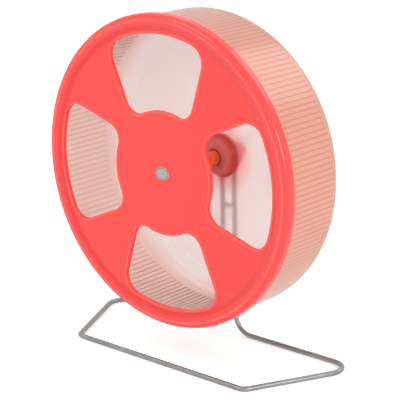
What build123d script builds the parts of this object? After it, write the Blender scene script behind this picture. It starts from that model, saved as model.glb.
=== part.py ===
from build123d import *
import os

# Rodent exercise wheel on a bent wire stand, in millimetres.
# The floor is z = 0, the axle runs along Y above x = 0, and the wheel's open face looks towards -Y.
# Depths count backwards from the frontmost ridge of the wheel's rim, radii from the axle.

# Driving dimensions of the wheel
wheel_radius = 140.0
axle_height = 174.0
rest_turn = 3.5  # degrees anticlockwise from the front, as the wheel came to rest
wheel_depth = 82.0
sheet = 1.8

# Driving dimensions of the stand
wire_radius = 2.25
upright_depth = 91.0
upright_spacing = 14.5
front_bar_depth = -9.0
front_bar_half = 100.0
back_bar_half = 148.0

# Driving dimensions of the axle: an M6 bolt and a 6 x 19 x 6 ball bearing
bolt_radius = 3.0
hex_across_flats = 10.0
bearing_front = 72.7
bearing_width = 6.0
bearing_radius = 9.5
ball_radius = 1.68
ball_circle = 6.25
ball_count = 7
rear_cap_back = 107.0

# The origin lies on the floor, midway between the front bar and the rear cap
ridge_y = -(front_bar_depth - wire_radius + rear_cap_back) / 2
wheel_axis = Axis((0, 0, axle_height), (0, 1, 0))
# Half section through the axle: its x is the depth and its y the radius
half_section = Plane(origin=(0, ridge_y, axle_height), x_dir=(0, 1, 0), z_dir=(1, 0, 0))


def at_depth(depth):
    """Upright plane that faces the front, with the axle at its origin."""
    return Plane(origin=(0, ridge_y + depth, axle_height), x_dir=(1, 0, 0), z_dir=(0, -1, 0))


os.makedirs("parts", exist_ok=True)

# Window outline: two arcs about the axle, joined by straight sides that open outwards
window_count = 4
window_outer = 123.0
window_inner = 55.5
window_corner_outer = 15.5
window_corner_inner = 14.9
side_start = 30.0
side_half_width = 28.6
side_slope = 0.368
collar_width = 2.2

with BuildSketch() as window:
    Circle(window_outer)
    Circle(window_inner, mode=Mode.SUBTRACT)
    with BuildLine():
        reach = wheel_radius - side_start
        wide = side_half_width + side_slope * reach
        Polyline(
            (side_start, side_half_width),
            (wheel_radius, wide),
            (wheel_radius, -wide),
            (side_start, -side_half_width),
            close=True,
        )
    make_face(mode=Mode.INTERSECT)
    inner_corners = window.vertices().group_by(Axis.X)[0]
    fillet(inner_corners, window_corner_inner)
    outer_corners = window.vertices().group_by(SortBy.DISTANCE)[-1]
    fillet(outer_corners, window_corner_outer)

with BuildSketch() as window_collar:
    add(window.sketch)
    offset(amount=collar_width, kind=Kind.ARC)

# Front cover: moulded sheet with a stepped crown, a rounded rim and a short skirt over the drum's edge
face_depth = 2.2
cover_thickness = 2.2
cover_back = face_depth + cover_thickness
collar_height = 1.3
collar_back = cover_back + collar_height
crown_start = 130.3
step_start = 124.3
step_middle = (crown_start + step_start) / 2
crown_depth = 0.5
rim_fillet = 5.0
skirt_back = 10.6
drum_front = 2.6
edge_pocket_inner = 131.5
edge_pocket_outer = 137.9
pocket_slope = 4.0
lip_radius = 137.3
lip_front = 7.2
lip_lead = 0.6
window_round = 1.1

with BuildPart() as front_cover:
    with BuildSketch(half_section):
        with BuildLine():
            Line((cover_back, 0), (face_depth, 0))
            Line((face_depth, 0), (face_depth, step_start))
            step_foot = TangentArc(
                (face_depth, step_start),
                ((face_depth + crown_depth) / 2, step_middle),
                tangent=(0, 1),
            )
            TangentArc(step_foot @ 1, (crown_depth, crown_start), tangent=step_foot % 1)
            Line((crown_depth, crown_start), (0, wheel_radius - rim_fillet))
            RadiusArc((0, wheel_radius - rim_fillet), (rim_fillet, wheel_radius), rim_fillet)
            Polyline(
                (rim_fillet, wheel_radius),
                (skirt_back, wheel_radius),
                (skirt_back, lip_radius),
                (lip_front, lip_radius),
                (lip_front - lip_lead, edge_pocket_outer),
                (drum_front, edge_pocket_outer),
                (drum_front, edge_pocket_inner),
                (cover_back, edge_pocket_inner - pocket_slope),
                (cover_back, 0),
            )
        make_face()
    revolve(axis=wheel_axis)
    with BuildSketch(at_depth(cover_back)):
        with PolarLocations(0, window_count, start_angle=rest_turn):
            add(window_collar.sketch)
    extrude(amount=cover_back - collar_back)
    with BuildSketch(at_depth(0)):
        with PolarLocations(0, window_count, start_angle=rest_turn):
            add(window.sketch)
    extrude(amount=-2 * collar_back, mode=Mode.SUBTRACT)
    cover_face = front_cover.faces().filter_by(Axis.Y).sort_by(Axis.Y)[0]
    fillet(cover_face.inner_wires().edges(), window_round)
front_cover.part.label = "front_cover"
export_step(front_cover.part, "parts/front_cover.step")

# Oval plate: plain metal oval in the middle of the cover, glued on
oval_half_width = 8.5
oval_half_height = 6.0
oval_thickness = 0.5
oval_chamfer = 0.2

with BuildPart() as oval_plate:
    with BuildSketch(at_depth(face_depth)):
        with Locations(Rotation(0, 0, rest_turn)):
            Ellipse(oval_half_width, oval_half_height)
    extrude(amount=oval_thickness)
    chamfer(oval_plate.edges().group_by(Axis.Y)[0], oval_chamfer)
oval_plate.part.label = "oval_plate"
export_step(oval_plate.part, "parts/oval_plate.step")

# Running drum: milky cup with a snap bead at its edge, a rounded corner, a stepped back wall,
# a hub dome that stands forward, and fine cross ribs for the animal's feet
drum_radius_front = 136.9
drum_radius_back = 136.1
drum_inner = 134.4
bead_radius = 137.7
bead_back = 6.4
bead_slope = 0.5
bead_round = 0.6
outer_corner = 14.0
inner_corner = outer_corner - sheet
wall_step_radius = 112.0
wall_step = 0.5
back_wall = wheel_depth - wall_step
dome_base = 19.8
dome_top = 15.0
dome_front = 70.7
dome_round = 5.0
dome_foot_back = 1.0
dome_foot_front = 3.0
dome_hole = 8.0
rib_count = 176
rib_phase = 0.8
rib_front = 15.7
rib_back = 67.0
rib_height = 0.9
rib_root = 1.6
rib_tip = 1.0
rib_bed = 0.2

with BuildPart() as running_drum:
    with BuildSketch(half_section):
        with BuildLine():
            FilletPolyline(
                (drum_front, drum_inner),
                (drum_front, bead_radius),
                (bead_back, bead_radius),
                (bead_back + bead_slope, drum_radius_front),
                (back_wall, drum_radius_back),
                (back_wall, wall_step_radius + wall_step),
                (wheel_depth, wall_step_radius),
                (wheel_depth, dome_base - sheet),
                (dome_front + sheet, dome_top - sheet),
                (dome_front + sheet, dome_hole),
                (dome_front, dome_hole),
                (dome_front, dome_top),
                (wheel_depth - sheet, dome_base),
                (wheel_depth - sheet, wall_step_radius),
                (back_wall - sheet, wall_step_radius + wall_step),
                (back_wall - sheet, drum_inner),
                radius=[
                    0, bead_round, 0, 0, outer_corner, 0, 0, dome_foot_back,
                    dome_round - sheet, 0, 0, dome_round, dome_foot_front, 0, 0, inner_corner,
                ],
                close=True,
            )
        make_face()
    revolve(axis=wheel_axis)
    with BuildSketch(at_depth(rib_front)):
        Circle(drum_inner + sheet / 2)
        Circle(drum_inner - rib_bed, mode=Mode.SUBTRACT)
        with PolarLocations(0, rib_count, start_angle=rest_turn + rib_phase):
            Polygon(
                (drum_inner, rib_root / 2),
                (drum_inner, -rib_root / 2),
                (drum_inner - rib_height, -rib_tip / 2),
                (drum_inner - rib_height, rib_tip / 2),
                align=None,
            )
    extrude(amount=rib_front - rib_back)
running_drum.part.label = "running_drum"
export_step(running_drum.part, "parts/running_drum.step")

# Bearing housing: coral insert pushed into the hub dome from behind, with a flange against the back wall
housing_gap = 0.1
housing_front = dome_front + sheet
housing_front_radius = dome_top - sheet - housing_gap
housing_back_radius = dome_base - sheet - housing_gap
flange_radius = 19.5
flange_thickness = 2.0
bearing_back = bearing_front + bearing_width
bearing_play = 0.2
pocket_back = bearing_back + bearing_play
retaining_lip = 8.0

with BuildPart() as bearing_housing:
    with BuildSketch(half_section):
        with BuildLine():
            FilletPolyline(
                (housing_front, bearing_radius),
                (housing_front, housing_front_radius),
                (wheel_depth, housing_back_radius),
                (wheel_depth, flange_radius),
                (wheel_depth + flange_thickness, flange_radius),
                (wheel_depth + flange_thickness, retaining_lip),
                (pocket_back, retaining_lip),
                (pocket_back, bearing_radius),
                radius=[0, dome_round - sheet, 0, 0, 0, 0, 0, 0],
                close=True,
            )
        make_face()
    revolve(axis=wheel_axis)
bearing_housing.part.label = "bearing_housing"
export_step(bearing_housing.part, "parts/bearing_housing.step")

# Ball bearing: two grooved rings, seven balls in a cage, and two pressed shields
groove_radius = 1.83
inner_shoulder = 4.9
outer_shoulder = 7.6
bearing_middle = bearing_front + bearing_width / 2
shield_thickness = 0.3
shield_inset = 0.2
shield_radius = 8.2
shield_bore = 5.2
race_edge = 0.3

with BuildPart() as bearing_outer_ring:
    with BuildSketch(half_section):
        with Locations((bearing_middle, (outer_shoulder + bearing_radius) / 2)):
            Rectangle(bearing_width, bearing_radius - outer_shoulder)
        with Locations((bearing_middle, ball_circle)):
            Circle(groove_radius, mode=Mode.SUBTRACT)
        shield_seat = shield_inset + shield_thickness
        for seat_middle in (bearing_front + shield_seat / 2, bearing_back - shield_seat / 2):
            with Locations((seat_middle, outer_shoulder)):
                Rectangle(shield_seat, 2 * (shield_radius - outer_shoulder), mode=Mode.SUBTRACT)
    revolve(axis=wheel_axis)
    outer_rims = bearing_outer_ring.edges().filter_by(GeomType.CIRCLE).group_by(SortBy.RADIUS)[-1]
    chamfer(outer_rims, race_edge)
bearing_outer_ring.part.label = "bearing_outer_ring"
export_step(bearing_outer_ring.part, "parts/bearing_outer_ring.step")

with BuildPart() as bearing_inner_ring:
    with BuildSketch(half_section):
        with Locations((bearing_middle, (bolt_radius + inner_shoulder) / 2)):
            Rectangle(bearing_width, inner_shoulder - bolt_radius)
        with Locations((bearing_middle, ball_circle)):
            Circle(groove_radius, mode=Mode.SUBTRACT)
    revolve(axis=wheel_axis)
bearing_inner_ring.part.label = "bearing_inner_ring"
export_step(bearing_inner_ring.part, "parts/bearing_inner_ring.step")

with BuildPart() as bearing_balls:
    for ball in range(ball_count):
        outwards = Vector(1, 0, 0).rotate(Axis.Y, 360 * ball / ball_count)
        with Locations(at_depth(bearing_middle).origin + outwards * ball_circle):
            Sphere(ball_radius)
bearing_balls.part.label = "bearing_balls"
export_step(bearing_balls.part, "parts/bearing_balls.step")

cage_width = 4.4
cage_inner = 5.3
cage_outer = 7.2

with BuildPart() as bearing_cage:
    with BuildSketch(at_depth(bearing_middle)):
        Circle(cage_outer)
        Circle(cage_inner, mode=Mode.SUBTRACT)
    extrude(amount=cage_width / 2, both=True)
    for ball in range(ball_count):
        outwards = Vector(1, 0, 0).rotate(Axis.Y, 360 * ball / ball_count)
        with BuildSketch(Plane(at_depth(bearing_middle).origin, z_dir=outwards)):
            Circle(groove_radius)
        extrude(amount=bearing_radius, mode=Mode.SUBTRACT)
bearing_cage.part.label = "bearing_cage"
export_step(bearing_cage.part, "parts/bearing_cage.step")

with BuildPart() as bearing_shields:
    for shield_front in (bearing_front + shield_inset, bearing_back - shield_inset - shield_thickness):
        with BuildSketch(at_depth(shield_front)):
            Circle(shield_radius)
            Circle(shield_bore, mode=Mode.SUBTRACT)
        extrude(amount=-shield_thickness)
bearing_shields.part.label = "bearing_shields"
export_step(bearing_shields.part, "parts/bearing_shields.step")

# Axle: hexagon bolt from behind, with washers, a spacer sleeve and a lock nut in front
washer_radius = 5.6
washer_thickness = 1.2
nut_height = 6.0
bolt_length = 35.0
head_height = 4.0
tip_chamfer = 0.6
bore_clearance = 0.05
carrier_front_face = 85.0
carrier_back_face = 98.0
head_pocket_front = 98.5
head_front = head_pocket_front + washer_thickness
nut_front = bearing_front - washer_thickness - nut_height

with BuildPart() as axle_bolt:
    with BuildSketch(at_depth(head_front)):
        RegularPolygon(hex_across_flats / 2, 6, major_radius=False)
    extrude(amount=-head_height)
    with BuildSketch(at_depth(head_front)):
        Circle(bolt_radius - bore_clearance)
    extrude(amount=bolt_length)
    chamfer(axle_bolt.edges().group_by(Axis.Y)[0], tip_chamfer)
axle_bolt.part.label = "axle_bolt"
export_step(axle_bolt.part, "parts/axle_bolt.step")

with BuildPart() as bolt_washer:
    with BuildSketch(at_depth(head_pocket_front)):
        Circle(washer_radius)
        Circle(bolt_radius + bore_clearance, mode=Mode.SUBTRACT)
    extrude(amount=-washer_thickness)
bolt_washer.part.label = "bolt_washer"
export_step(bolt_washer.part, "parts/bolt_washer.step")

with BuildPart() as front_washer:
    with BuildSketch(at_depth(bearing_front)):
        Circle(washer_radius)
        Circle(bolt_radius + bore_clearance, mode=Mode.SUBTRACT)
    extrude(amount=washer_thickness)
front_washer.part.label = "front_washer"
export_step(front_washer.part, "parts/front_washer.step")

sleeve_radius = 4.5

with BuildPart() as spacer_sleeve:
    with BuildSketch(at_depth(bearing_back)):
        Circle(sleeve_radius)
        Circle(bolt_radius + bore_clearance, mode=Mode.SUBTRACT)
    extrude(amount=bearing_back - carrier_front_face)
spacer_sleeve.part.label = "spacer_sleeve"
export_step(spacer_sleeve.part, "parts/spacer_sleeve.step")

# Lock nut: hexagon with a round collar at the front that holds the locking ring
nut_hex_height = 4.6
nut_collar_radius = 4.3
nut_round = 0.8

with BuildPart() as lock_nut:
    with BuildSketch(at_depth(nut_front + nut_height)):
        RegularPolygon(hex_across_flats / 2, 6, major_radius=False)
    extrude(amount=nut_hex_height)
    with BuildSketch(at_depth(nut_front + nut_height)):
        Circle(nut_collar_radius)
    extrude(amount=nut_height)
    fillet(lock_nut.edges().group_by(Axis.Y)[0], nut_round)
    with BuildSketch(at_depth(nut_front + nut_height)):
        Circle(bolt_radius)
    extrude(amount=nut_height, mode=Mode.SUBTRACT)
lock_nut.part.label = "lock_nut"
export_step(lock_nut.part, "parts/lock_nut.step")

# Axle cap: rounded cap pushed over the nut, with a hexagon socket inside
cap_front = 61.0
cap_gap = 0.5
cap_radius = 7.2
cap_wall = 1.5
cap_round = 2.5

with BuildPart() as axle_cap:
    with BuildSketch(at_depth(dome_front - cap_gap)):
        Circle(cap_radius)
    extrude(amount=dome_front - cap_gap - cap_front)
    fillet(axle_cap.edges().group_by(Axis.Y)[0], cap_round)
    with BuildSketch(at_depth(dome_front - cap_gap)):
        RegularPolygon(hex_across_flats / 2, 6, major_radius=False)
    extrude(amount=dome_front - cap_gap - cap_front - cap_wall, mode=Mode.SUBTRACT)
axle_cap.part.label = "axle_cap"
export_step(axle_cap.part, "parts/axle_cap.step")

# Stand frame: one steel wire, down both uprights and round the base loop
upright_half = upright_spacing / 2
upright_over = 2.0
upright_top = axle_height + upright_over
foot_bend = 18.0
back_corner = 16.0
front_corner = 8.0
base_z = wire_radius
back_y = ridge_y + upright_depth
front_y = ridge_y + front_bar_depth

with BuildPart() as stand_frame:
    with BuildLine() as wire_path:
        FilletPolyline(
            (-upright_half, back_y, upright_top),
            (-upright_half, back_y, base_z),
            (-back_bar_half, back_y, base_z),
            (-front_bar_half, front_y, base_z),
            (front_bar_half, front_y, base_z),
            (back_bar_half, back_y, base_z),
            (upright_half, back_y, base_z),
            (upright_half, back_y, upright_top),
            radius=[foot_bend, back_corner, front_corner, front_corner, back_corner, foot_bend],
        )
    with BuildSketch(Plane(origin=wire_path.line @ 0, z_dir=wire_path.line % 0)):
        Circle(wire_radius)
    sweep()
stand_frame.part.label = "stand_frame"
export_step(stand_frame.part, "parts/stand_frame.step")

# Cross rung: thin wire welded between the uprights, its ends shaped to them
rung_radius = 1.4
rung_drop = 49.0

with BuildPart() as cross_rung:
    with BuildSketch(Plane.YZ):
        with Locations((back_y, axle_height - rung_drop)):
            Circle(rung_radius)
    extrude(amount=upright_half, both=True)
    add(stand_frame.part, mode=Mode.SUBTRACT)
cross_rung.part.label = "cross_rung"
export_step(cross_rung.part, "parts/cross_rung.step")

# Wheel carrier: two moulded halves that meet at the wires, clamped on them by the axle bolt
carrier_half = 11.0
carrier_top = 8.0
carrier_bottom = -9.0
carrier_corner = 3.0
carrier_edge = 1.0
carrier_middle = (carrier_top + carrier_bottom) / 2

with BuildSketch() as carrier_outline:
    with Locations((0, carrier_middle)):
        RectangleRounded(2 * carrier_half, carrier_top - carrier_bottom, carrier_corner)

with BuildPart() as carrier_front:
    with BuildSketch(at_depth(carrier_front_face)):
        add(carrier_outline.sketch)
    extrude(amount=carrier_front_face - upright_depth)
    fillet(carrier_front.faces().sort_by(Axis.Y)[0].edges(), carrier_edge)
    with BuildSketch(at_depth(carrier_front_face)):
        Circle(bolt_radius + bore_clearance)
    extrude(amount=carrier_front_face - upright_depth, mode=Mode.SUBTRACT)
    add(stand_frame.part, mode=Mode.SUBTRACT)
carrier_front.part.label = "carrier_front"
export_step(carrier_front.part, "parts/carrier_front.step")

boss_radius = 8.0
cap_disc = 2.0
boss_back = rear_cap_back - cap_disc
head_pocket_radius = 6.3

with BuildPart() as carrier_rear:
    with BuildSketch(at_depth(upright_depth)):
        add(carrier_outline.sketch)
    extrude(amount=upright_depth - carrier_back_face)
    fillet(carrier_rear.faces().sort_by(Axis.Y)[-1].edges(), carrier_edge)
    with BuildSketch(at_depth(carrier_back_face)):
        Circle(boss_radius)
    extrude(amount=carrier_back_face - boss_back)
    with BuildSketch(at_depth(upright_depth)):
        Circle(bolt_radius + bore_clearance)
    extrude(amount=upright_depth - boss_back, mode=Mode.SUBTRACT)
    with BuildSketch(at_depth(head_pocket_front)):
        Circle(head_pocket_radius)
    extrude(amount=head_pocket_front - boss_back, mode=Mode.SUBTRACT)
    add(stand_frame.part, mode=Mode.SUBTRACT)
carrier_rear.part.label = "carrier_rear"
export_step(carrier_rear.part, "parts/carrier_rear.step")

# Rear cap: disc with a spigot that closes the pocket of the bolt's head
spigot_length = 1.0
cap_chamfer = 0.8

with BuildPart() as rear_cap:
    with BuildSketch(at_depth(boss_back)):
        Circle(boss_radius)
    extrude(amount=boss_back - rear_cap_back)
    chamfer(rear_cap.edges().group_by(Axis.Y)[-1], cap_chamfer)
    with BuildSketch(at_depth(boss_back)):
        Circle(head_pocket_radius)
    extrude(amount=spigot_length)
rear_cap.part.label = "rear_cap"
export_step(rear_cap.part, "parts/rear_cap.step")
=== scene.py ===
import math

import bpy
import numpy as np
from mathutils import Matrix, Vector


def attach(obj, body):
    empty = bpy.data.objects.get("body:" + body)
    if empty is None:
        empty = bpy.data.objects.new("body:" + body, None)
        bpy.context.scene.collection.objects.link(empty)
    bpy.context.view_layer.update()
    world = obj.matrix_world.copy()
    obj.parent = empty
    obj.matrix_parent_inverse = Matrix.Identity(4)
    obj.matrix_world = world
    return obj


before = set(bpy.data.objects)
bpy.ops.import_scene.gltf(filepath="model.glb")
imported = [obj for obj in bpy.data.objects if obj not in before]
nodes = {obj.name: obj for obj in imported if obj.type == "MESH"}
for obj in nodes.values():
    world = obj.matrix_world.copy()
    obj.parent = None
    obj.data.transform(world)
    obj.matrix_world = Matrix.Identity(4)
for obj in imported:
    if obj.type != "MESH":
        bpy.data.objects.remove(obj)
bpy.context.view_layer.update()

# Stand frame and cross rung: one length of 4.5 mm steel wire bent cold into two uprights and a base
# loop, with a thin rung welded between the uprights. The steel is zinc plated to a satin grey,
# with faint clouds, a fine grain, and a warmer tone where the plating is thin.
zinc_light = (0.31, 0.313, 0.31)
zinc_dark = (0.235, 0.238, 0.236)
zinc_thin = (0.27, 0.245, 0.23)
zinc_dullness = 0.36
zinc_dull_low = 0.3
zinc_dull_high = 0.44
zinc_metal = 0.85
plating_scale = 55.0
thin_scale = 18.0
thin_low = -0.3
thin_high = 0.6
satin_scale = 160.0
wire_grain_scale = 900.0
wire_grain_height = 0.00004
noise_low = 0.3
noise_high = 0.7

# The Mix node's colour sockets go by number, because several of its sockets share a name.
mix_first = 6
mix_second = 7
mix_result = 2


def new_finish(name, colour, roughness, metallic=0.0):
    """Material with one Principled shader of that colour, and the object's own coordinates to work from."""
    material = bpy.data.materials.new(name)
    material.use_nodes = True
    tree = material.node_tree
    shader = tree.nodes["Principled BSDF"]
    shader.inputs["Base Color"].default_value = (*colour, 1.0)
    shader.inputs["Roughness"].default_value = roughness
    shader.inputs["Metallic"].default_value = metallic
    place = tree.nodes.new("ShaderNodeTexCoord")
    return material, tree, shader, place.outputs["Object"]


def cloud(tree, place, scale, detail, low, high, stretch=(1.0, 1.0, 1.0)):
    """Soft noise over the piece, spread between two values. A stretch over 1 is finer along that axis.

    The ends aren't held, because that would draw outlines on the glossy and milky plastic."""
    mapping = tree.nodes.new("ShaderNodeMapping")
    mapping.inputs["Scale"].default_value = stretch
    tree.links.new(place, mapping.inputs["Vector"])
    noise = tree.nodes.new("ShaderNodeTexNoise")
    noise.inputs["Scale"].default_value = scale
    noise.inputs["Detail"].default_value = detail
    tree.links.new(mapping.outputs["Vector"], noise.inputs["Vector"])
    levels = tree.nodes.new("ShaderNodeMapRange")
    levels.clamp = False
    levels.inputs["From Min"].default_value = noise_low
    levels.inputs["From Max"].default_value = noise_high
    levels.inputs["To Min"].default_value = low
    levels.inputs["To Max"].default_value = high
    tree.links.new(noise.outputs["Fac"], levels.inputs["Value"])
    return levels.outputs["Result"]


def blend(tree, amount, first, second):
    """Colour between first and second, by an amount from 0 to 1. Each may be a colour or a socket."""
    mix = tree.nodes.new("ShaderNodeMix")
    mix.data_type = "RGBA"
    mix.clamp_factor = False
    tree.links.new(amount, mix.inputs["Factor"])
    for socket, colour in ((mix.inputs[mix_first], first), (mix.inputs[mix_second], second)):
        if isinstance(colour, tuple):
            socket.default_value = (*colour, 1.0)
        else:
            tree.links.new(colour, socket)
    return mix.outputs[mix_result]


def add_relief(tree, shader, place, scale, height):
    """Fine bumps from soft noise of that scale, that high in metres."""
    noise = tree.nodes.new("ShaderNodeTexNoise")
    noise.inputs["Scale"].default_value = scale
    noise.inputs["Detail"].default_value = 1.0
    tree.links.new(place, noise.inputs["Vector"])
    bump = tree.nodes.new("ShaderNodeBump")
    bump.inputs["Strength"].default_value = 1.0
    bump.inputs["Distance"].default_value = height
    tree.links.new(noise.outputs["Fac"], bump.inputs["Height"])
    tree.links.new(bump.outputs["Normal"], shader.inputs["Normal"])


def dress(material, *names):
    """Puts a finish on pieces of the frame."""
    for name in names:
        slots = nodes[name].data.materials
        slots.clear()
        slots.append(material)


zinc_wire, tree, shader, place = new_finish("zinc_wire", zinc_light, zinc_dullness, zinc_metal)
plating_clouds = cloud(tree, place, plating_scale, detail=4.0, low=0.0, high=1.0)
plating = blend(tree, plating_clouds, zinc_dark, zinc_light)
thin_places = cloud(tree, place, thin_scale, detail=3.0, low=thin_low, high=thin_high)
tree.links.new(blend(tree, thin_places, plating, zinc_thin), shader.inputs["Base Color"])
satin = cloud(tree, place, satin_scale, detail=3.0, low=zinc_dull_low, high=zinc_dull_high)
tree.links.new(satin, shader.inputs["Roughness"])
add_relief(tree, shader, place, wire_grain_scale, wire_grain_height)
dress(zinc_wire, "stand_frame", "cross_rung")

# Wheel carrier and rear cap: two coral mouldings that the axle bolt clamps on the uprights, and the disc
# that closes the pocket of the bolt's head. They are glossy moulded plastic, coral right through, with
# faint flow clouds and the slow ripple of a moulded skin.
coral_light = (0.955, 0.067, 0.060)
coral_dark = (0.935, 0.062, 0.055)
plastic_gloss = 0.34
flow_scale = 14.0
skin_scale = 40.0
skin_sharper = 0.015
skin_duller = 0.02
ripple_scale = 120.0
ripple_height = 0.000006
carrier_dullness = 0.24


def moulded_plastic(name, light, dark, roughness):
    """Glossy moulded plastic: nearly even colour, faint flow clouds, and the ripple of a moulded skin."""
    material, tree, shader, place = new_finish(name, light, roughness)
    skin = blend(tree, cloud(tree, place, flow_scale, detail=3.0, low=0.0, high=1.0), light, dark)
    tree.links.new(skin, shader.inputs["Base Color"])
    sharpest = roughness - skin_sharper
    dullest = roughness + skin_duller
    tree.links.new(cloud(tree, place, skin_scale, 1.0, sharpest, dullest), shader.inputs["Roughness"])
    shader.inputs["Specular IOR Level"].default_value = plastic_gloss
    add_relief(tree, shader, place, ripple_scale, ripple_height)
    return material, tree, shader, place, skin


coral_plastic = moulded_plastic("coral_plastic", coral_light, coral_dark, carrier_dullness)[0]
dress(coral_plastic, "carrier_front", "carrier_rear", "rear_cap")

# Axle: hexagon bolt, washers, spacer sleeve and lock nut, all zinc plated and a little dull from the
# tumbling drum. The bolt holds the carrier, the sleeve and the bearing's inner ring in one stack.
zinc_bright = (0.55, 0.56, 0.58)
zinc_bright_dullness = 0.32
zinc_bright_change = 0.08
tone_drop = 0.86
tone_scale = 320.0
grain_scale = 700.0


def small_piece_finish(name, colour, roughness, change, metallic=1.0):
    """Turned, pressed or moulded small piece: clouds in its tone, and a grain in how sharply it reflects."""
    material, tree, shader, place = new_finish(name, colour, roughness, metallic)
    darker = tuple(tone_drop * channel for channel in colour)
    tone = blend(tree, cloud(tree, place, tone_scale, detail=3.0, low=0.0, high=1.0), colour, darker)
    tree.links.new(tone, shader.inputs["Base Color"])
    grain = cloud(tree, place, grain_scale, detail=3.0, low=roughness - change, high=roughness + change)
    tree.links.new(grain, shader.inputs["Roughness"])
    return material


zinc_steel = small_piece_finish("zinc_steel", zinc_bright, zinc_bright_dullness, zinc_bright_change)
dress(zinc_steel, "axle_bolt", "bolt_washer", "front_washer", "spacer_sleeve", "lock_nut")

# Bearing: hardened steel rings and balls with a polished face, a pressed brass cage that spaces the
# balls, and two shields faced with dull rust-red rubber that keep the sawdust out.
steel_grey = (0.62, 0.62, 0.64)
steel_dullness = 0.14
steel_change = 0.05
brass_yellow = (0.66, 0.46, 0.2)
brass_dullness = 0.3
brass_change = 0.08
rubber_red = (0.6, 0.07, 0.05)
rubber_dullness = 0.5
rubber_change = 0.06

bearing_steel = small_piece_finish("bearing_steel", steel_grey, steel_dullness, steel_change)
dress(bearing_steel, "bearing_outer_ring", "bearing_inner_ring", "bearing_balls")
cage_brass = small_piece_finish("cage_brass", brass_yellow, brass_dullness, brass_change)
dress(cage_brass, "bearing_cage")
shield_rubber = small_piece_finish("shield_rubber", rubber_red, rubber_dullness, rubber_change, metallic=0.0)
dress(shield_rubber, "bearing_shields")

# Bearing housing: the deep red insert that is pushed into the hub dome from behind and holds the
# bearing. It is the same glossy plastic as the cover, moulded in a fuller red.
red_light = (1.0, 0.07, 0.06)
red_dark = (0.97, 0.06, 0.05)
red_dullness = 0.3
red_plastic = moulded_plastic("red_plastic", red_light, red_dark, red_dullness)[0]
dress(red_plastic, "bearing_housing")

# Axle cap: the orange cap pushed over the nut, so that no thread is bare inside the running space.
# It is a small glossy moulding with a rounded front.
orange_light = (1.0, 0.2, 0.055)
orange_dark = (0.97, 0.17, 0.05)
orange_dullness = 0.22
orange_plastic = moulded_plastic("orange_plastic", orange_light, orange_dark, orange_dullness)[0]
dress(orange_plastic, "axle_cap")

# Running drum: one cup of milky plastic, see-through enough that the uprights show as soft shadows.
# Its running surface has fine cross ribs moulded in, which show as lines through the outer skin. That
# skin is peach, the inner one is nearly white, and the hub dome shows the red insert behind it.
axle_z = 0.174
ridge_y = -0.047875
rest_turn = math.radians(3.5)
rib_count = 176
rib_phase = math.radians(0.8)
rib_front = 0.0157
rib_back = 0.067
rib_end = 0.002
rib_top_radius = 0.1335
rib_bed_radius = 0.1342
skin_radius = 0.1352
skin_blur = 0.0003
corner_radius = 0.1221
corner_depth = 0.0675
corner_skin = 0.0131
wall_step_radius = 0.1125
wall_step_half = 0.0009
inner_corner_start = 0.118
corner_fade = 0.004
hub_radius = 0.0199
dome_tip_depth = 0.0715
dome_foot_depth = 0.0775
milk_light = (0.98, 0.885, 0.865)
milk_dark = (0.97, 0.865, 0.845)
milk_corner_sheen = (0.98, 0.92, 0.925)
milk_step_highlight = (1.0, 0.985, 0.985)
rib_tint = (1.0, 0.80, 0.74)
bed_painted_light = (1.0, 0.97, 0.955)
peach_skin = (0.85, 0.40, 0.285)
peach_line = (0.72, 0.255, 0.165)
hub_red = (1.0, 0.10, 0.085)
hub_pink = (1.0, 0.27, 0.24)
painted_hub_glow = (0.97, 0.36, 0.35)
glow_reach = 0.038
glow_strength = 0.8
wall_clear = 0.60
drum_side_clear = 0.62
hub_clear = 0.04
rib_line_start = 0.35
rib_line_full = 0.95
milk_scale = 12.0
milk_dullness = 0.3
milk_bending = 1.3
milk_scatter = 0.85
milk_scatter_depth = 0.008
milk_scatter_shares = (1.0, 0.8, 0.75)
gloss_coat = 0.25
gloss_coat_dullness = 0.1


def spread(tree, value, low, high, to_low=0.0, to_high=1.0):
    """A value spread from one range to another, and held at its ends."""
    levels = tree.nodes.new("ShaderNodeMapRange")
    levels.inputs["From Min"].default_value = low
    levels.inputs["From Max"].default_value = high
    levels.inputs["To Min"].default_value = to_low
    levels.inputs["To Max"].default_value = to_high
    tree.links.new(value, levels.inputs["Value"])
    return levels.outputs["Result"]


def work_out(tree, operation, first, second=None):
    """One step of arithmetic on sockets or numbers."""
    node = tree.nodes.new("ShaderNodeMath")
    node.operation = operation
    for socket, value in zip(node.inputs, (first, second)):
        if isinstance(value, (int, float)):
            socket.default_value = value
        elif value is not None:
            tree.links.new(value, socket)
    return node.outputs[0]


def length(tree, first, second):
    """Length of the slanting side over two square sides."""
    first_square = work_out(tree, "MULTIPLY", first, first)
    second_square = work_out(tree, "MULTIPLY", second, second)
    return work_out(tree, "SQRT", work_out(tree, "ADD", first_square, second_square))


def near(tree, value, middle, half):
    """1 within a third of a half width from the middle, falling to 0 at the half width."""
    away = work_out(tree, "ABSOLUTE", work_out(tree, "SUBTRACT", value, middle))
    return spread(tree, away, half, half / 3)


def wheel_place(tree, place):
    """Distance from the axle, turn about it in radians, and depth behind the rim's ridge."""
    split = tree.nodes.new("ShaderNodeSeparateXYZ")
    tree.links.new(place, split.inputs[0])
    height = work_out(tree, "SUBTRACT", split.outputs["Z"], axle_z)
    radius = length(tree, split.outputs["X"], height)
    turn = work_out(tree, "ARCTAN2", height, split.outputs["X"])
    depth = work_out(tree, "SUBTRACT", split.outputs["Y"], ridge_y)
    return radius, turn, depth


milky_plastic, tree, shader, place = new_finish("milky_plastic", milk_light, milk_dullness)
radius, turn, depth = wheel_place(tree, place)
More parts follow.
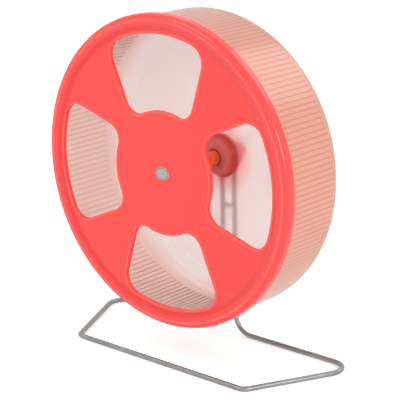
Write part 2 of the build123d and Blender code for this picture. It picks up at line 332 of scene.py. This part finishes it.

# The inner skin: milky, and warmer on the ribs. Round the rounded corner it is whiter, partly from thicker
# plastic and partly as a painted sheen, and along the wall's step a pale line is a painted highlight.
milk = blend(tree, cloud(tree, place, milk_scale, detail=0.0, low=0.0, high=1.0), milk_light, milk_dark)
into_corner = spread(tree, radius, inner_corner_start - corner_fade, inner_corner_start + corner_fade)
# Painted sheen, with thicker plastic: the rounded corner is whiter.
milk = blend(tree, into_corner, milk, milk_corner_sheen)
# Painted highlight: a pale line along the wall's step.
milk = blend(tree, near(tree, radius, wall_step_radius, wall_step_half), milk, milk_step_highlight)
past_front = spread(tree, depth, rib_front - rib_end, rib_front)
before_back = spread(tree, depth, rib_back + rib_end, rib_back)
along_ribs = work_out(tree, "MULTIPLY", past_front, before_back)
over_bed = spread(tree, radius, rib_bed_radius, rib_bed_radius - skin_blur)
under_tops = spread(tree, radius, rib_top_radius - 2 * skin_blur, rib_top_radius)
on_ribs = work_out(tree, "MULTIPLY", work_out(tree, "MULTIPLY", over_bed, under_tops), along_ribs)
on_bed = work_out(tree, "MULTIPLY", spread(tree, radius, rib_top_radius, rib_bed_radius), along_ribs)
# Painted light: the bed between the ribs is whitened to lift the shade between them.
milk = blend(tree, on_bed, milk, bed_painted_light)
milk = blend(tree, on_ribs, milk, rib_tint)

# Round the hub the wall is tinted a faint red, a painted glow that stands in for the red light of the
# insert's flange and the carrier behind it.
# Painted glow: a faint red tint spread round the hub.
glow = spread(tree, radius, glow_reach, hub_radius, 0.0, glow_strength)
milk = blend(tree, glow, milk, painted_hub_glow)

# The outer skin: peach with the ribs' lines, fading to milky where the corner turns into the back wall.
from_first_rib = work_out(tree, "SUBTRACT", turn, rest_turn + rib_phase)
rib_wave = work_out(tree, "COSINE", work_out(tree, "MULTIPLY", from_first_rib, rib_count))
rib_line = work_out(tree, "MULTIPLY", spread(tree, rib_wave, rib_line_start, rib_line_full), along_ribs)
peach = blend(tree, rib_line, peach_skin, peach_line)
round_side = spread(tree, radius, skin_radius - skin_blur, skin_radius + skin_blur)
past_corner = work_out(tree, "SUBTRACT", radius, corner_radius)
behind_corner = work_out(tree, "MAXIMUM", work_out(tree, "SUBTRACT", depth, corner_depth), 0.0)
corner_distance = length(tree, past_corner, behind_corner)
corner = spread(tree, corner_distance, corner_skin - skin_blur, corner_skin + skin_blur)
corner = work_out(tree, "MULTIPLY", corner, spread(tree, radius, corner_radius, skin_radius))
outside = work_out(tree, "MAXIMUM", round_side, corner)
skin = blend(tree, outside, milk, peach)

# The hub: red where the insert fills the dome, paler at the dome's tip, and hardly see-through.
hub = spread(tree, radius, hub_radius + skin_blur, hub_radius - skin_blur)
dome_tip = spread(tree, depth, dome_foot_depth, dome_tip_depth)
tree.links.new(blend(tree, hub, skin, blend(tree, dome_tip, hub_red, hub_pink)), shader.inputs["Base Color"])
clear = spread(tree, radius, inner_corner_start, skin_radius, wall_clear, drum_side_clear)
clear = work_out(tree, "SUBTRACT", clear, work_out(tree, "MULTIPLY", hub, wall_clear - hub_clear))
tree.links.new(clear, shader.inputs["Transmission Weight"])
shader.inputs["Coat Weight"].default_value = gloss_coat
shader.inputs["Coat Roughness"].default_value = gloss_coat_dullness
shader.inputs["IOR"].default_value = milk_bending
shader.inputs["Subsurface Weight"].default_value = milk_scatter
shader.inputs["Subsurface Radius"].default_value = milk_scatter_shares
shader.inputs["Subsurface Scale"].default_value = milk_scatter_depth
dress(milky_plastic, "running_drum")

# Front cover: one coral moulding that snaps over the drum's edge, with four windows and a stepped crown.
# Its skin is darker in the step, which is painted shade, and paler along the ridge, which is a painted
# highlight.
step_radius = 0.1272
step_half = 0.0036
ridge_radius = 0.1347
ridge_half = 0.0019
ridge_depth = 0.003
front_fade = 0.001
cover_dullness = 0.22
# Painted shade in the step, and a painted highlight along the ridge.
step_shade = (0.80, 0.040, 0.036)
ridge_highlight = (1.0, 0.20, 0.18)
step_strength = 0.8
ridge_strength = 0.4

cover_plastic, tree, shader, place, skin = moulded_plastic(
    "cover_plastic", coral_light, coral_dark, cover_dullness)
radius, turn, depth = wheel_place(tree, place)
in_front = spread(tree, depth, ridge_depth + front_fade, ridge_depth)
in_step = work_out(tree, "MULTIPLY", near(tree, radius, step_radius, step_half), in_front)
on_ridge = work_out(tree, "MULTIPLY", near(tree, radius, ridge_radius, ridge_half), in_front)
# Painted shade: the step is darkened.
skin = blend(tree, work_out(tree, "MULTIPLY", in_step, step_strength), skin, step_shade)
# Painted highlight: the ridge is made paler.
skin = blend(tree, work_out(tree, "MULTIPLY", on_ridge, ridge_strength), skin, ridge_highlight)
tree.links.new(skin, shader.inputs["Base Color"])
dress(cover_plastic, "front_cover")

# Window beads: a low half-round bead moulded round each window on the cover's front, which keeps the
# edge from hurting the animal. It is one with the cover, in the same plastic; its paler colour is a painted
# highlight.
face_depth = 0.0022
face_y = ridge_y + face_depth
window_outer = 0.123
window_inner = 0.0555
corner_outer = 0.0155
corner_inner = 0.0149
side_start = 0.030
side_half_width = 0.0286
side_slope = 0.368
bead_width = 0.0028
bead_height = 0.0008
bead_root = 0.0006
bead_overhang = 0.0002
bead_sides = 16
arc_points = 24


def corner_centre(reach, corner):
    """Centre of a corner's arc: that far from the axle, and the corner's radius inside the straight side."""
    square = 1.0 + side_slope ** 2
    offset = side_half_width - side_slope * side_start - corner * math.sqrt(square)
    along = (-side_slope * offset + math.sqrt(square * reach ** 2 - offset ** 2)) / square
    return np.array((along, offset + side_slope * along))


def window_edge():
    """Outline of the right window and its outward normals, anticlockwise.

    It is six arcs joined by the straight sides: the outer arc about the axle, two outer corners, two inner
    corners, and the inner arc about the axle, which bends the other way."""
    outer_centre = corner_centre(window_outer - corner_outer, corner_outer)
    inner_centre = corner_centre(window_inner + corner_inner, corner_inner)
    outer_angle = math.atan2(outer_centre[1], outer_centre[0])
    inner_angle = math.atan2(inner_centre[1], inner_centre[0])
    side_normal = math.pi / 2 + math.atan(side_slope)
    mirror = np.array((1.0, -1.0))
    axle = np.zeros(2)
    arcs = [
        (axle, window_outer, -outer_angle, outer_angle, 1.0),
        (outer_centre, corner_outer, outer_angle, side_normal, 1.0),
        (inner_centre, corner_inner, side_normal, math.pi + inner_angle, 1.0),
        (axle, window_inner, inner_angle, -inner_angle, -1.0),
        (inner_centre * mirror, corner_inner, math.pi - inner_angle, 2 * math.pi - side_normal, 1.0),
        (outer_centre * mirror, corner_outer, -side_normal, -outer_angle, 1.0),
    ]
    places = []
    normals = []
    for centre, arc_radius, start, end, outwards in arcs:
        angles = np.linspace(start, end, arc_points)
        ray = np.stack((np.cos(angles), np.sin(angles)), axis=1)
        places.append(centre + arc_radius * ray)
        normals.append(outwards * ray)
    return np.concatenate(places), np.concatenate(normals)


def add_loop(name, grid, material):
    """Piece from rows of points that close both ways, each point joined to its neighbours."""
    rows, columns = grid.shape[:2]
    number = np.arange(rows * columns).reshape(rows, columns)
    next_row = np.roll(number, -1, axis=0)
    faces = np.stack((number, np.roll(number, -1, axis=1), np.roll(next_row, -1, axis=1), next_row), axis=-1)
    mesh = bpy.data.meshes.new(name)
    mesh.from_pydata(grid.reshape(-1, 3), [], faces.reshape(-1, 4))
    mesh.polygons.foreach_set("use_smooth", np.ones(len(mesh.polygons), dtype=bool))
    mesh.materials.append(material)
    mesh.update()
    piece = bpy.data.objects.new(name, mesh)
    bpy.context.scene.collection.objects.link(piece)
    return piece


def window_bead(name, quarter, material):
    """Bead round one window.

    Across the bead runs a half ellipse over the cover's face, with a lower half ellipse sunk in the cover.
    The edge is turned about the axle by its quarter turns and the wheel's rest turn."""
    edge, normal = window_edge()
    round_bead = np.linspace(0.0, 2 * math.pi, bead_sides, endpoint=False)
    out = bead_width / 2 * (1.0 - np.cos(round_bead)) - bead_overhang
    raised = np.where(np.sin(round_bead) > 0, bead_height, bead_root) * np.sin(round_bead)
    flat = edge[:, None, :] + normal[:, None, :] * out[None, :, None]
    window_turn = rest_turn + quarter * math.pi / 2
    across = flat[..., 0] * math.cos(window_turn) - flat[..., 1] * math.sin(window_turn)
    height = flat[..., 0] * math.sin(window_turn) + flat[..., 1] * math.cos(window_turn)
    depth = np.broadcast_to(face_y - raised, across.shape)
    bead = add_loop(name, np.stack((across, depth, height + axle_z), axis=-1), material)
    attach(bead, "wheel")


# Painted highlight: the bead is paler than the cover's same plastic.
bead_light = (0.98, 0.10, 0.092)
bead_dark = (0.96, 0.092, 0.084)
bead_dullness = 0.18
bead_plastic = moulded_plastic("bead_plastic", bead_light, bead_dark, bead_dullness)[0]
for quarter, side in enumerate(("right", "top", "left", "bottom")):
    window_bead("window_bead_" + side, quarter, bead_plastic)

# Oval plate: thin stamped aluminium, glued to the middle of the cover and left plain, with one fine
# dark line inside its edge. Its face is brushed from side to side.
plate_half_width = 0.0085
plate_half_height = 0.006
edge_line_place = 0.84
edge_line_half = 0.06
brush_scale = 90.0
brush_stretch = (1.0, 1.0, 22.0)
plate_light = (0.46, 0.41, 0.40)
plate_dark = (0.33, 0.29, 0.28)
plate_edge_line = (0.14, 0.11, 0.10)
plate_dullness = 0.35
plate_dull_low = 0.28
plate_dull_high = 0.45
plate_metal_share = 0.9

plate_metal, tree, shader, place = new_finish("plate_metal", plate_light, plate_dullness, plate_metal_share)
brushed = cloud(tree, place, brush_scale, detail=4.0, low=0.0, high=1.0, stretch=brush_stretch)
face = blend(tree, brushed, plate_dark, plate_light)
radius, turn = wheel_place(tree, place)[:2]
plate_turn = work_out(tree, "SUBTRACT", turn, rest_turn)
along = work_out(tree, "MULTIPLY", radius, work_out(tree, "COSINE", plate_turn))
above = work_out(tree, "MULTIPLY", radius, work_out(tree, "SINE", plate_turn))
oval = length(
    tree,
    work_out(tree, "DIVIDE", along, plate_half_width),
    work_out(tree, "DIVIDE", above, plate_half_height),
)
# Darker along a fine line inside the plate's edge.
face = blend(tree, near(tree, oval, edge_line_place, edge_line_half), face, plate_edge_line)
tree.links.new(face, shader.inputs["Base Color"])
dull_lines = cloud(tree, place, brush_scale, 4.0, plate_dull_low, plate_dull_high, brush_stretch)
tree.links.new(dull_lines, shader.inputs["Roughness"])
dress(plate_metal, "oval_plate")

# Floor: a plain pale sheet that keeps the object's shadow, and looks white to the camera, in
# reflections, and through the milky plastic.
floor_half = 4.0
floor_corners = [(-floor_half, -floor_half, 0), (floor_half, -floor_half, 0),
                 (floor_half, floor_half, 0), (-floor_half, floor_half, 0)]
floor_white = (0.8, 0.8, 0.8)
floor_dullness = 0.9
floor_lift = 0.4


def seen_directly(tree):
    """1 for what the camera, a reflection or a see-through piece shows, and 0 for the light on the object."""
    path = tree.nodes.new("ShaderNodeLightPath")
    seen = work_out(tree, "MAXIMUM", path.outputs["Is Camera Ray"], path.outputs["Is Glossy Ray"])
    return work_out(tree, "MAXIMUM", seen, path.outputs["Is Transmission Ray"])


floor_mesh = bpy.data.meshes.new("floor")
floor_mesh.from_pydata(floor_corners, [], [(0, 1, 2, 3)])
floor = bpy.data.objects.new("floor", floor_mesh)
bpy.context.scene.collection.objects.link(floor)
floor_paint, tree, shader = new_finish("floor_paint", floor_white, floor_dullness)[:3]
shader.inputs["Specular IOR Level"].default_value = 0.0
lift = tree.nodes.new("ShaderNodeEmission")
lift.inputs["Strength"].default_value = floor_lift
lifted = tree.nodes.new("ShaderNodeAddShader")
surface = tree.nodes.new("ShaderNodeMixShader")
tree.links.new(shader.outputs["BSDF"], lifted.inputs[0])
tree.links.new(lift.outputs["Emission"], lifted.inputs[1])
tree.links.new(seen_directly(tree), surface.inputs["Fac"])
tree.links.new(shader.outputs["BSDF"], surface.inputs[1])
tree.links.new(lifted.outputs["Shader"], surface.inputs[2])
tree.links.new(surface.outputs["Shader"], tree.nodes["Material Output"].inputs["Surface"])
floor_mesh.materials.append(floor_paint)

# Light: a white studio world, a large soft lamp from the upper left, a smaller one from the right that
# draws the highlight along the rim, and one from behind that shines through the milky wall.
world_light = 0.83
wheel_middle = (0.0, 0.0, axle_z)
key_place = (-0.7, -1.2, 1.6)
key_size = 0.9
key_watts = 9.0
rim_place = (1.4, -0.3, 0.6)
rim_size = 0.45
rim_watts = 8.0
back_place = (0.4, 1.2, 1.2)
back_size = 0.8
back_watts = 5.0

world = bpy.data.worlds.new("studio")
world.use_nodes = True
bpy.context.scene.world = world
tree = world.node_tree
background = tree.nodes["Background"]
background.inputs["Color"].default_value = (1.0, 1.0, 1.0, 1.0)
tree.links.new(spread(tree, seen_directly(tree), 0.0, 1.0, world_light, 1.0), background.inputs["Strength"])


def softbox(name, lamp_place, size, watts):
    """A square lamp that points at the middle of the wheel."""
    lamp = bpy.data.lights.new(name, "AREA")
    lamp.shape = "SQUARE"
    lamp.size = size
    lamp.energy = watts
    lamp_object = bpy.data.objects.new(name, lamp)
    bpy.context.scene.collection.objects.link(lamp_object)
    aim = (Vector(wheel_middle) - Vector(lamp_place)).to_track_quat("-Z", "Y")
    lamp_object.matrix_world = Matrix.Translation(lamp_place) @ aim.to_matrix().to_4x4()


softbox("key_light", key_place, key_size, key_watts)
softbox("rim_light", rim_place, rim_size, rim_watts)
softbox("back_light", back_place, back_size, back_watts)

# Camera: where the photograph was taken from, solved from the outlines of the wheel and its stand. It
# is a long lens a little above the wheel, turned to its right side, with a slight roll.
view_azimuth = math.radians(41.699)
view_elevation = math.radians(16.707)
view_roll = math.radians(-0.788)
view_distance = 1.3625
target_right = 0.04545
target_drop = 0.01468
view_target = Vector((target_right, ridge_y, axle_z - target_drop))
focal_pixels = 1597.6
frame_pixels = 400.0
sensor_mm = 36.0

back = Vector((
    math.sin(view_azimuth) * math.cos(view_elevation),
    -math.cos(view_azimuth) * math.cos(view_elevation),
    math.sin(view_elevation),
))
level_right = back.cross(Vector((0, 0, -1))).normalized()
level_up = back.cross(level_right)
right = level_right * math.cos(view_roll) + level_up * math.sin(view_roll)
up = level_up * math.cos(view_roll) - level_right * math.sin(view_roll)
camera_data = bpy.data.cameras.new("camera")
camera_data.sensor_width = sensor_mm
camera_data.lens = focal_pixels / frame_pixels * sensor_mm
camera = bpy.data.objects.new("camera", camera_data)
bpy.context.scene.collection.objects.link(camera)
camera_axes = Matrix((right, up, back)).transposed().to_4x4()
camera.matrix_world = Matrix.Translation(view_target + back * view_distance) @ camera_axes
bpy.context.scene.camera = camera
bpy.context.scene.view_settings.view_transform = "Standard"
